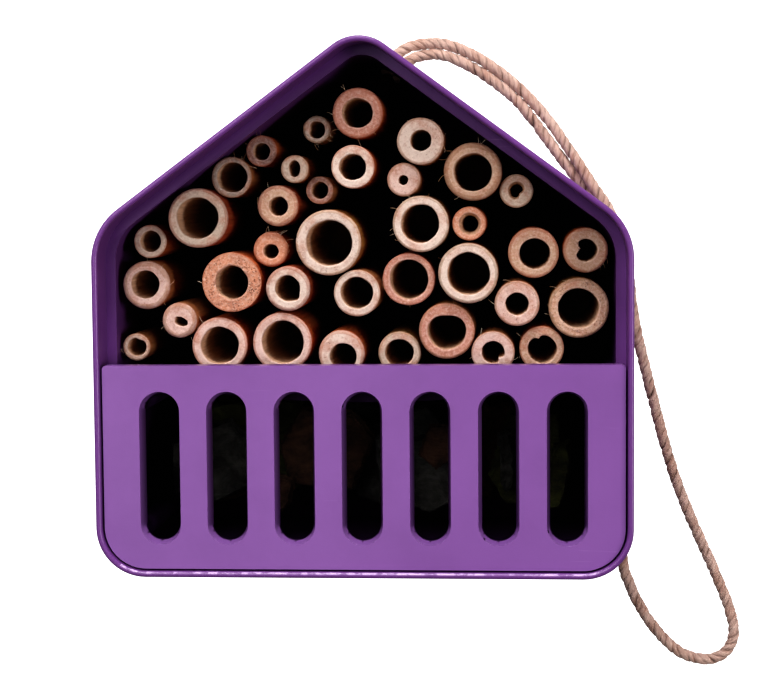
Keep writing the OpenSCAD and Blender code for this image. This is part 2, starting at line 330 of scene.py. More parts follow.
def new_material(name):
    """A fresh material; returns it, its tree, its surface shader and the object's own places."""
    material = bpy.data.materials.new(name)
    material.use_nodes = True
    tree = material.node_tree
    tree.nodes.clear()
    surface = tree.nodes.new("ShaderNodeBsdfPrincipled")
    result = tree.nodes.new("ShaderNodeOutputMaterial")
    tree.links.new(surface.outputs[0], result.inputs["Surface"])
    place = Wire(tree, tree.nodes.new("ShaderNodeTexCoord").outputs["Object"])
    return material, tree, surface, place


def bump(tree, surface, height, depth):
    """Shallow relief, depth in metres."""
    made = node(tree, "ShaderNodeBump", {"Height": height, "Distance": depth, "Strength": 1.0})
    tree.links.new(made.outputs[0], surface.inputs["Normal"])


def attribute(tree, name, colour=False):
    """A mark that the mesh carries."""
    made = node(tree, "ShaderNodeAttribute", attribute_name=name)
    return Wire(tree, made.outputs["Color" if colour else "Fac"])


def plastic(name, light, dark):
    """Moulded plastic: soft clouds of two shades, fine grain, rubbed edges, a painted highlight on
    marked front edges and painted shade inside.
    """
    material, tree, surface, place = new_material(name)
    flow = noise(tree, place, 9.0, 2.0, 0.5)
    cloud = noise(tree, place, 46.0, 4.0, 0.6)
    body = mixed(tree, ramp(tree, flow, 0.3, 0.7), light, dark)
    body = mixed(tree, ramp(tree, cloud, 0.35, 0.8, 0.0, 0.1), body, rgb(60, 30, 74))
    wear = use_group(tree, WEAR, Vector=place, Radius=0.0007, Amount=0.05)["Mask"]
    scuff = use_group(tree, SCUFFS, Vector=place, Amount=0.2)
    body = mixed(tree, calc(tree, "MAXIMUM", wear, scuff["Scratch"]), body, rgb(186, 148, 204))
    inside = attribute(tree, "inside")
    # Painted highlight: a pale broken line on the marked upward front edges.
    highlight_breaks = ramp(tree, noise(tree, place, 380.0, 3.0, 0.6), 0.44, 0.58, 0.15, 0.9)
    body = mixed(tree, attribute(tree, "rubbed_and_highlit") * highlight_breaks, body, rgb(216, 186, 228))
    # Painted shade: the plastic goes near black deeper inside the rooms.
    body = mixed(tree, inside * 0.95, body, rgb(30, 16, 32))
    plug(tree, body, surface.inputs["Base Color"])
    plug(tree, 0.28 + scuff["Dull"] * 0.14 + wear * 0.1 + inside * 0.5, surface.inputs["Roughness"])
    plug(tree, 0.42 - inside * 0.38, surface.inputs["Specular IOR Level"])
    grain = noise(tree, place, 2600.0, 2.0, 0.6)
    ripple = noise(tree, place, 170.0, 2.0, 0.5)
    height = grain * 0.25 + ripple * 0.6 - scuff["Scratch"] * 0.5
    bump(tree, surface, height, 0.00008)
    return material


# Dark brown for painted shade in the canes, their bores and the knot's cord.
SHADE_BROWN = rgb(40, 22, 14)


def bamboo():
    """Sawn cane: the mesh says what is cut face, bore and skin, and carries the cane's two tones."""
    material, tree, surface, place = new_material("bamboo")
    cut = attribute(tree, "cut")
    across = attribute(tree, "across")  # 0 at the skin, 1 at the bore, 2 inside it
    deep = attribute(tree, "deep")
    wood = attribute(tree, "wood_tone", True)
    skin = attribute(tree, "skin_tone", True)

    grit = attribute(tree, "speckle")
    dots = use_group(tree, SPECKLE, Vector=place, Scale=1900.0, Density=0.3 + grit * 0.5)["Mask"]
    blotch = noise(tree, place, 240.0, 5.0, 0.65)
    fuzz = noise(tree, place, 1500.0, 4.0, 0.75)
    face = mixed(tree, ramp(tree, blotch, 0.42, 0.66, 0.0, 0.62), wood, rgb(184, 126, 104))
    face = mixed(tree, ramp(tree, fuzz, 0.4, 0.75, 0.0, 0.45), face, rgb(238, 220, 206))
    face = mixed(tree, ramp(tree, fuzz, 0.45, 0.27, 0.0, 0.5), face, rgb(150, 104, 78))
    face = mixed(tree, dots * ramp(tree, grit, 0.0, 1.0, 0.25, 0.6), face, rgb(120, 72, 44))
    rubbed_and_highlit = noise(tree, place, 420.0, 3.0, 0.6)
    rind = ramp(tree, across + (rubbed_and_highlit - 0.5) * 0.25, 0.07, 0.0)
    face = mixed(tree, rind * 0.45, face, mixed(tree, 0.5, skin, rgb(140, 100, 80)))
    lip = ramp(tree, across + (rubbed_and_highlit - 0.5) * 0.2, 0.9, 1.0)
    face = mixed(tree, lip * 0.12, face, rgb(250, 234, 220))

    along = out(tree, "ShaderNodeMapping", {"Vector": place, "Scale": (1, 1, 0.035)})
    fibres = use_group(tree, STREAKS, Vector=along, Fineness=1500.0, Softness=0.6)
    shell = mixed(tree, fibres["Streak"] * 0.35, skin, rgb(220, 150, 100))
    shell = mixed(tree, ramp(tree, fibres["Broad"], 0.4, 0.62, 0.0, 0.4), shell, rgb(132, 68, 40))
    # Painted shade: the skin darkens to brown deeper into the house.
    shell = mixed(tree, ramp(tree, attribute(tree, "sunk"), 0.06, 0.6, 0.0, 0.93), shell, SHADE_BROWN)

    pith = mixed(tree, fibres["Streak"] * 0.6, rgb(222, 188, 160), rgb(176, 136, 108))
    # Painted shade: the bore goes dark brown with depth.
    pith = mixed(tree, ramp(tree, deep, 0.2, 2.4), pith, SHADE_BROWN)
    pith = mixed(tree, ramp(tree, deep, 0.0, 0.01, 0.5, 0.0), pith, wood)

    inner = attribute(tree, "bore")
    colour = mixed(tree, cut, shell, face)
    colour = mixed(tree, inner, colour, pith)
    plug(tree, colour, surface.inputs["Base Color"])
    plug(tree, 0.46 + cut * 0.34 + fibres["Streak"] * 0.06, surface.inputs["Roughness"])
    height = (fuzz * 0.7 - dots * 0.7 + blotch * 0.5) * cut
    height = height + fibres["Streak"] * 0.5 * (1.0 - cut)
    bump(tree, surface, height, 0.00022)
    return material


def bark(name, pale, dark, stain):
    """Rough bark: rugged patches, flakes and long grain."""
    material, tree, surface, place = new_material(name)
    rugged = noise(tree, place, 150.0, 7.0, 0.68, 0.4)
    flakes = node(tree, "ShaderNodeTexVoronoi", {"Vector": place, "Scale": 190.0}, feature="SMOOTH_F1")
    grain = use_group(
        tree,
        STREAKS,
        Vector=out(tree, "ShaderNodeMapping", {"Vector": place, "Scale": (0.2, 1, 1)}),
        Fineness=900.0,
        Softness=0.65,
    )
    colour = mixed(tree, ramp(tree, rugged, 0.32, 0.68), dark, pale)
    colour = mixed(tree, grain["Streak"] * 0.4, colour, stain)
    plug(tree, colour, surface.inputs["Base Color"])
    surface.inputs["Roughness"].default_value = 0.9
    height = rugged + Wire(tree, flakes.outputs["Distance"]) * 0.5 + grain["Streak"] * 0.3
    bump(tree, surface, height, 0.0007)
    return material


def cord_fibre(name, painted_shade):
    """Twisted natural fibre with painted shade between the plies; the last argument is 0 for no painted
    shade and 1 for a cord painted fully in shade.
    """
    material, tree, surface, _ = new_material(name)
    map_uv = node(tree, "ShaderNodeUVMap", uv_map="ply")
    strand = Wire(tree, map_uv.outputs[0])
    along = out(tree, "ShaderNodeMapping", {"Vector": strand, "Scale": (0.55, 9.0, 1.0)})
    fibres = use_group(tree, STREAKS, Vector=along, Fineness=1.0, Softness=0.7)
    tint = noise(tree, strand, 0.11, 3.0, 0.6)
    colour = mixed(tree, ramp(tree, tint, 0.35, 0.68), rgb(214, 180, 168), rgb(190, 146, 130))
    colour = mixed(tree, fibres["Streak"] * 0.55, colour, rgb(232, 208, 192))
    colour = mixed(tree, ramp(tree, fibres["Broad"], 0.5, 0.75, 0.0, 0.55), colour, rgb(146, 98, 78))
    # Painted shade in the creases between the plies.
    crease = attribute(tree, "crease")
    colour = mixed(tree, crease, colour, rgb(96, 62, 46))
    # Painted shade over the whole cord.
    colour = mixed(tree, painted_shade, colour, SHADE_BROWN)
    plug(tree, colour, surface.inputs["Base Color"])
    surface.inputs["Roughness"].default_value = 0.85
    surface.inputs["Sheen Weight"].default_value = 0.25 * (1 - painted_shade)
    surface.inputs["Specular IOR Level"].default_value = 0.5 * (1 - painted_shade)
    bump(tree, surface, fibres["Streak"] + fibres["Broad"] * 0.5, 0.00016)
    return material


def loose_fibre(name, pale, dark):
    """Single fibres, paler and darker along their length."""
    material, tree, surface, place = new_material(name)
    tint = noise(tree, place, 500.0, 2.0)
    plug(tree, mixed(tree, ramp(tree, tint, 0.35, 0.65), dark, pale), surface.inputs["Base Color"])
    surface.inputs["Roughness"].default_value = 0.75
    return material


def white_table():
    """Matt white board that shows white from above, as a product table lit from behind does."""
    material, tree, surface, place = new_material("white_table")
    mottle = noise(tree, place, 30.0, 3.0)
    board = mixed(tree, mottle, (0.62, 0.62, 0.62, 1), (0.58, 0.58, 0.58, 1))
    plug(tree, board, surface.inputs["Base Color"])
    surface.inputs["Roughness"].default_value = 0.9
    glow = node(tree, "ShaderNodeEmission", {"Color": (1, 1, 1, 1), "Strength": 1.5})
    seen = node(tree, "ShaderNodeLightPath").outputs["Is Camera Ray"]
    both = node(tree, "ShaderNodeMixShader", {0: seen, 1: surface.outputs[0], 2: glow.outputs[0]})
    result = next(n for n in tree.nodes if n.type == "OUTPUT_MATERIAL")
    tree.links.new(both.outputs[0], result.inputs["Surface"])
    return material


COVER_PLASTIC = plastic("purple_cover", rgb(151, 108, 173), rgb(143, 98, 165))
# The tub's plastic is the cover's painted a shade darker, as painted shade on its rounded rim.
TUB_PLASTIC = plastic("purple_tub", rgb(128, 80, 148), rgb(120, 72, 140))
BAMBOO = bamboo()
BARK_GREY = bark("bark_grey", rgb(96, 96, 90), rgb(36, 34, 31), rgb(60, 62, 54))
BARK_BROWN = bark("bark_brown", rgb(104, 76, 58), rgb(44, 30, 22), rgb(78, 52, 38))
BARK_GREEN = bark("bark_green", rgb(88, 94, 48), rgb(40, 42, 22), rgb(92, 90, 52))
CORD = cord_fibre("cord", 0.0)
# The knot's cord is painted almost fully in shade.
KNOT_CORD = cord_fibre("cord_in_painted_shade", 0.9)
FUZZ = loose_fibre("cord_fuzz", rgb(232, 206, 190), rgb(188, 146, 128))
FIBRE = loose_fibre("cane_fibre", rgb(238, 222, 200), rgb(186, 140, 100))


def new_object(name, mesh, material=None):
    """Links a mesh into the scene, with its material unless a tree has put one on already."""
    made = bpy.data.objects.new(name, mesh)
    bpy.context.scene.collection.objects.link(made)
    if material is not None:
        mesh.materials.clear()
        mesh.materials.append(material)
    return made


TABLE_HALF = 2.0
TABLE_DROP = 0.3 * MM


def add_table():
    mesh = bpy.data.meshes.new("table")
    half = TABLE_HALF
    corners = [(-half, -half, 0), (half, -half, 0), (half, half, 0), (-half, half, 0)]
    mesh.from_pydata(corners, [], [(0, 1, 2, 3)])
    table = new_object("table", mesh, white_table())
    table.location.z = -TABLE_DROP


add_table()

# ---- hanging cord

# The plies swell and shrink, so the mesh is laid a little thicker than the cord measures
CORD_ROUND = 3.4
CORD_LAY = 7.6  # one full turn of the plies
# The route's own points, as in the part's source, in millimetres
CORD_ROUTE = [
    (1.5, 64.4, 5), (3.2, 67.2, 4.9), (5.6, 70.3, 4.1), (9.6, 72.5, 2.8), (17.6, 73.2, 1.7),
    (25.5, 70.6, 1.6), (34.8, 64.8, 1.6), (43.5, 57.1, 1.6), (50.6, 48.5, 1.8),
    (56.8, 39.3, 3.3), (61.6, 31.9, 4.6), (66.5, 24.3, 4.7), (70, 15.5, 4.7), (72.2, 5, 3.5),
    (73.2, -3.5, 1.7), (75.6, -15.5, 1.6), (83.4, -46, 1.6), (89.5, -63.5, 1.6),
    (96.5, -79.5, 1.6), (101.7, -92.5, 1.6), (103, -101, 1.6), (99.5, -106.6, 1.6),
    (93, -107.8, 1.6), (85.5, -104.5, 1.6), (78.2, -96.2, 1.6), (72.7, -85.8, 1.6),
    (70.2, -74, 1.6), (69.6, -30, 1.6), (69.6, 8, 1.6), (67.6, 20, 1.6), (61.4, 29, 1.6),
    (54.7, 37, 1.6), (41.5, 54.6, 1.6), (32.9, 62.2, 1.6), (24.1, 67.7, 1.6), (17, 70, 1.8),
    (11.4, 69.5, 3), (8.2, 67.8, 4.3), (5.9, 65.3, 5), (4.4, 62.8, 5),
]


def smooth_line(route, per_span):
    """Points of the smooth curve through the route."""
    knots = np.array(route, float)
    line = []
    for i in range(len(knots) - 1):
        a, b = knots[max(i - 1, 0)], knots[i]
        c, d = knots[i + 1], knots[min(i + 2, len(knots) - 1)]
        for t in np.arange(per_span) / per_span:
            cubic = (2 * a - 5 * b + 4 * c - d) * t * t + (3 * b - a - 3 * c + d) * t**3
            line.append(0.5 * (2 * b + (c - a) * t + cubic))
    line.append(knots[-1])
    return np.array(line)


def even_line(line, step):
    """The same line with points a step apart."""
    run = np.concatenate([[0], np.cumsum(np.linalg.norm(np.diff(line, axis=0), axis=1))])
    at = np.linspace(0, run[-1], int(math.ceil(run[-1] / step)) + 1)
    return np.stack([np.interp(at, run, line[:, k]) for k in range(3)], axis=1), at


def carried_frames(line):
    """Side and up directions carried along a line without twisting."""
    ways = np.gradient(line, axis=0)
    ways /= np.linalg.norm(ways, axis=1)[:, None]
    side = np.cross(ways[0], (0, 0, 1))
    side /= np.linalg.norm(side)
    sides = []
    for way in ways:
        side = side - way * (side @ way)
        side /= np.linalg.norm(side)
        sides.append(side)
    sides = np.array(sides)
    return sides, np.cross(ways, sides)


PLY_SHARE = 0.275  # a ply's radius as a share of the cord's diameter
UNEVEN_EVERY = 2.2  # millimetres between changes in a ply's thickness
PLY_SWELL = 0.26
PLY_DRIFT = 0.9


def twisted_mesh(name, line_mm, diameter, lay, plies=3, sides=12, step=0.45, seed=3):
    """Plies laid round a line: one closed tube for each ply, with its own UV map and crease shade."""
    line, run = even_line(line_mm, step)
    side, up = carried_frames(line)
    rng = np.random.default_rng(seed)
    count = len(line)
    ply_r = diameter * PLY_SHARE
    helix_r = diameter / 2 - ply_r
    points, faces, uvs, crease = [], [], [], []
    ring = np.arange(sides) * TURN / sides
    for ply in range(plies):
        knots = rng.random(int(run[-1] / UNEVEN_EVERY) + 4)
        spots = np.arange(len(knots))
        swell = 1 + PLY_SWELL * (np.interp(run / UNEVEN_EVERY, spots, knots) - 0.5)
        drift = np.interp(run / UNEVEN_EVERY, spots, rng.random(len(knots)) - 0.5) * PLY_DRIFT
        angle = run / lay * TURN + ply * TURN / plies + drift
        out_way = np.cos(angle)[:, None] * side + np.sin(angle)[:, None] * up
        centre = line + out_way * helix_r
        way = np.gradient(centre, axis=0)
        way /= np.linalg.norm(way, axis=1)[:, None]
        flat = np.cross(way, out_way)
        flat /= np.linalg.norm(flat, axis=1)[:, None]
        high = np.cross(flat, way)
        first = len(points)
        for i in range(count):
            rough = 0.07 * np.sin(ring * 3 + i * 0.9 + ply) + 0.05 * np.sin(ring * 2 - i * 0.53)
            bump_r = ply_r * swell[i] * (1 + rough)
            across = np.cos(ring) * bump_r
            width = np.sin(ring) * bump_r * 1.12
            rim = centre[i] + across[:, None] * high[i] + width[:, None] * flat[i]
            away = rim - line[i]
            reach = np.linalg.norm(away, axis=1)
            limit = np.minimum(1, diameter / 2 / np.maximum(reach, 1e-6))
            points.extend(line[i] + away * limit[:, None])
            # Painted shade for the creases: darker where the ply surface sinks towards the cord's
            # middle.
            shade = np.clip((0.93 - reach / (diameter / 2)) / 0.3, 0, 1)
            crease.extend(shade)
        for i in range(count - 1):
            a = first + i * sides
            b = a + sides
            for k in range(sides):
                n = (k + 1) % sides
                faces.append((a + k, a + n, b + n, b + k))
                u0, u1 = run[i], run[i] + step
                v0, v1 = k / sides, (k + 1) / sides
                uvs.extend([(u0, v0 + ply), (u0, v1 + ply), (u1, v1 + ply), (u1, v0 + ply)])
        for i, order in ((0, -1), (count - 1, 1)):
            faces.append(tuple(first + i * sides + k for k in range(sides))[::order])
            uvs.extend([(run[i], ply + 0.5)] * sides)
    mesh = bpy.data.meshes.new(name)
    mesh.from_pydata([tuple(p * MM) for p in np.array(points)], [], faces)
    layer = mesh.uv_layers.new(name="ply")
    layer.data.foreach_set("uv", np.array(uvs, np.float32).ravel())
    mark = mesh.attributes.new("crease", "FLOAT", "POINT")
    mark.data.foreach_set("value", np.array(crease, np.float32))
    mesh.polygons.foreach_set("use_smooth", [True] * len(mesh.polygons))
    mesh.update()
    return mesh


def turned_outwards(mesh):
    """The same mesh with all its faces looking outwards."""
    shape = bmesh.new()
    shape.from_mesh(mesh)
    bmesh.ops.recalc_face_normals(shape, faces=shape.faces)
    shape.to_mesh(mesh)
    shape.free()
    return mesh


CORD_LINE = smooth_line(CORD_ROUTE, 12)
cord = new_object(
    "hanging_loop_cord",
    turned_outwards(twisted_mesh("cord", CORD_LINE, CORD_ROUND, CORD_LAY)),
    CORD,
)


KNOT_POINTS = 72


def knot_line(centre, size, height):
    """A trefoil: the cord passes over and under itself three times."""
    t = np.arange(KNOT_POINTS) * TURN / KNOT_POINTS
    x = (np.sin(t) + 2 * np.sin(2 * t)) * size
    y = (np.cos(t) - 2 * np.cos(2 * t)) * size
    return np.stack([x + centre[0], y + centre[1], centre[2] - np.sin(3 * t) * height], axis=1)


def box_middle(name):
    low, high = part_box(name)
    return (low + high) / 2


KNOT_AT = box_middle("cord_knot") / MM
KNOT_SIZE, KNOT_HEIGHT = 0.82, 1.25
KNOT_ROUND, KNOT_LAY = 2.3, 5.5
knot_route = knot_line(KNOT_AT, KNOT_SIZE, KNOT_HEIGHT)
knot_loop = np.vstack([knot_route, knot_route[:1]])
knot = new_object(
    "cord_loop_knot",
    turned_outwards(twisted_mesh("knot", knot_loop, KNOT_ROUND, KNOT_LAY, step=0.3, seed=8)),
    KNOT_CORD,
)

# ---- repeated shapes grown by node trees


def grown(name, tree, inputs, base=None):
    """Runs a tree on a base mesh and returns the result as a plain mesh."""
    holder = bpy.data.objects.new(name + "_holder", base or bpy.data.meshes.new(name + "_base"))
    bpy.context.scene.collection.objects.link(holder)
    modifier = holder.modifiers.new("grow", "NODES")
    modifier.node_group = tree
    for item in tree.interface.items_tree:
        if item.item_type == "SOCKET" and item.in_out == "INPUT" and item.name in inputs:
            modifier[item.identifier] = inputs[item.name]
    bpy.context.view_layer.update()
    evaluated = holder.evaluated_get(bpy.context.evaluated_depsgraph_get())
    mesh = bpy.data.meshes.new_from_object(evaluated)
    mesh.name = name
    holder.modifiers.clear()
    bpy.data.objects.remove(holder)
    return mesh


def stored(tree, geometry, name, value, kind="FLOAT"):
    """The geometry with a value marked on its points."""
    made = node(
        tree,
        "GeometryNodeStoreNamedAttribute",
        {"Geometry": geometry, "Name": name, "Value": value},
        data_type=kind,
        domain="POINT",
    )
    return made.outputs[0]


def finished(tree, geometry, material, result):
    """Ends a tree: instances made real, material put on."""
    real = node(tree, "GeometryNodeRealizeInstances", {0: geometry})
    painted = node(tree, "GeometryNodeSetMaterial", {0: real.outputs[0], "Material": material})
    tree.links.new(painted.outputs[0], result.inputs["Geometry"])


STRAND_INPUTS = [
    ("Geometry", "Geometry"),
    ("Length", "Float", 1.5 * MM),
    ("Thickness", "Float", 0.04 * MM),
    ("Curl", "Float", 0.5),
    ("Seed", "Int", 0),
    ("Material", "Material"),
]


def strand_tree():
    """A thin curling strand on every point, standing the way that the point's mark says."""
    tree, given, result = new_tree(
        "strand_maker", "GeometryNodeTree", STRAND_INPUTS, [("Geometry", "Geometry")]
    )
    long, bend = given["Length"], given["Length"] * given["Curl"]
    arc = node(
        tree,
        "GeometryNodeCurveQuadraticBezier",
        {
            "Resolution": 4,
            "Start": (0, 0, 0),
            "Middle": vector(tree, bend * 0.2, 0.0, long * 0.6),
            "End": vector(tree, bend, bend * 0.3, long),
        },
    )
    profile = node(
        tree, "GeometryNodeCurvePrimitiveCircle", {"Resolution": 3, "Radius": given["Thickness"]}
    )
    strand = node(
        tree,
        "GeometryNodeCurveToMesh",
        {"Curve": arc.outputs[0], "Profile Curve": profile.outputs[0], "Fill Caps": True},
    )

    def chance(low, high, offset):
        inputs = {"Min": low, "Max": high, "Seed": given["Seed"] + offset}
        made = node(tree, "FunctionNodeRandomValue", data_type="FLOAT")
        live = [socket for socket in made.inputs if socket.enabled]
        for socket in live:
            if socket.name in inputs:
                plug(tree, inputs[socket.name], socket)
        return Wire(tree, next(socket for socket in made.outputs if socket.enabled))

    way = node(tree, "GeometryNodeInputNamedAttribute", {"Name": "way"}, data_type="FLOAT_VECTOR")
    facing = node(tree, "FunctionNodeAlignRotationToVector", {"Vector": way.outputs[0]}, axis="Z")
    spin = node(
        tree,
        "FunctionNodeRotateRotation",
        {0: facing.outputs[0], 1: vector(tree, 0.0, 0.0, chance(0.0, TURN, 1.0))},
        rotation_space="LOCAL",
    )
    placed = node(
        tree,
        "GeometryNodeInstanceOnPoints",
        {
            "Points": given["Geometry"],
            "Instance": strand.outputs[0],
            "Rotation": spin.outputs[0],
            "Scale": chance(0.35, 1.0, 2.0),
        },
    )
    finished(tree, placed.outputs[0], given["Material"], result)
    return tree


def marked_points(name, points, ways):
    """Loose points, each with the way that its strand stands."""
    mesh = bpy.data.meshes.new(name)
    mesh.from_pydata([tuple(p) for p in points], [], [])
    mark = mesh.attributes.new("way", "FLOAT_VECTOR", "POINT")
    mark.data.foreach_set("vector", np.array(ways, np.float32).ravel())
    return mesh


STRANDS = strand_tree()


# Where a loose fibre starts from the cord's middle, how far it reaches, and how far its tip
# stays above the table, in millimetres
FUZZ_ROOT = 1.3
FUZZ_REACH = 1.8
FUZZ_CLEAR = 0.5
FUZZ_STEP = 0.42
FUZZ_ENDS = 14  # steps left bare at each end of the cord


def make_fuzz():
    """Loose fibre ends standing off the cord, most of them leaning along it."""
    rng = np.random.default_rng(5)
    line, _ = even_line(CORD_LINE, FUZZ_STEP)
    side, up = carried_frames(line)
    points, ways = [], []
    for i in range(FUZZ_ENDS, len(line) - FUZZ_ENDS):
        angle = rng.uniform(0, TURN)
        away = np.cos(angle) * side[i] + np.sin(angle) * up[i]
        along = (line[i + 1] - line[i - 1]) / (2 * FUZZ_STEP) * rng.choice([-1, 1])
        way = away * rng.uniform(0.25, 0.8) + along
        tip = line[i][2] + away[2] * FUZZ_ROOT + min(0, way[2]) * FUZZ_REACH
        if tip < FUZZ_CLEAR:
            continue
        points.append((line[i] + away * FUZZ_ROOT) * MM)
        ways.append(way)
    inputs = {"Length": 1.7 * MM, "Thickness": 0.032 * MM, "Curl": 0.7, "Material": FUZZ}
    return new_object("cord_fuzz", grown("fuzz", STRANDS, inputs, marked_points("at", points, ways)))


# How many torn fibres stand at the cut end of a cane, and how far below the cut they start
TORN_BELOW_CUT = 0.7 * MM
TORN = {1: 12, 2: 9, 3: 4, 5: 4, 8: 5, 12: 9, 13: 5, 14: 6, 17: 4, 18: 4, 19: 5, 22: 5, 23: 11}
TORN.update({26: 12, 29: 7, 30: 4, 31: 5, 32: 5, 33: 7, 36: 5, 37: 4})


def make_cane_fibres():
    """Torn fibres round the cut ends, bunched to one side of each cane."""
    rng = np.random.default_rng(9)
    points, ways = [], []
    for number, count in TORN.items():
        low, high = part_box(f"cane_{number:02d}")
        middle = np.array((low + high) / 2)
        radius = (high.x - low.x) / 2
        start = rng.uniform(0, TURN)
        for _ in range(count):
            angle = start + rng.normal(0, 0.9)
            away = np.array((math.cos(angle), math.sin(angle), 0.0))
            up = high.z - middle[2] - TORN_BELOW_CUT
            points.append(middle + away * radius * 0.93 + (0, 0, up))
            outward = away * rng.uniform(0.3, 1.2)
            ways.append(outward + (*rng.normal(0, 0.5, 2), rng.uniform(-0.2, 0.7)))
    inputs = {"Length": 2.0 * MM, "Thickness": 0.065 * MM, "Curl": 0.9, "Material": FIBRE}
    base = marked_points("at", points, ways)
    return new_object("cane_fibres", grown("torn_fibres", STRANDS, inputs, base))


fuzz = make_fuzz()
cane_fibres = make_cane_fibres()

CANE_INPUTS = [
    ("Outer Radius", "Float", 6.0),
    ("Bore Radius", "Float", 3.0),
    ("Bore Height", "Float", 1.0),
    ("Bore Turn", "Float", 0.0),
    ("Bore Shift", "Vector"),
    ("Dent", "Float", 0.0),
    ("Dent Turn", "Float", 0.0),
    ("Dent Width", "Float", 0.5),
    ("Step In", "Float", 0.0),
    ("Front", "Float", 60.0),
    ("Back", "Float", 2.0),
    ("Floor", "Float", 7.0),
    ("Edge Round", "Float", 0.7),
    ("Lip Round", "Float", 0.3),
    ("Lumps", "Float", 0.03),
    ("Bore Lumps", "Float", 0.08),
    ("Lean X", "Float", 0.0),
    ("Lean Y", "Float", 0.0),
    ("Roughness", "Float", 0.2),
    ("Splinter", "Float", 0.0),
    ("Ring At", "Float", 8.0),
    ("Speckle", "Float", 0.3),
    ("Place", "Vector"),
    ("Seed", "Float", 0.0),
    ("Wood Tone", "Color"),
    ("Skin Tone", "Color"),
    ("Sides", "Int", 80),
    ("Steps", "Int", 57),
    ("Material", "Material"),
]
STAGES = 7  # bands of the sheet, from the back face to the bore's closed end


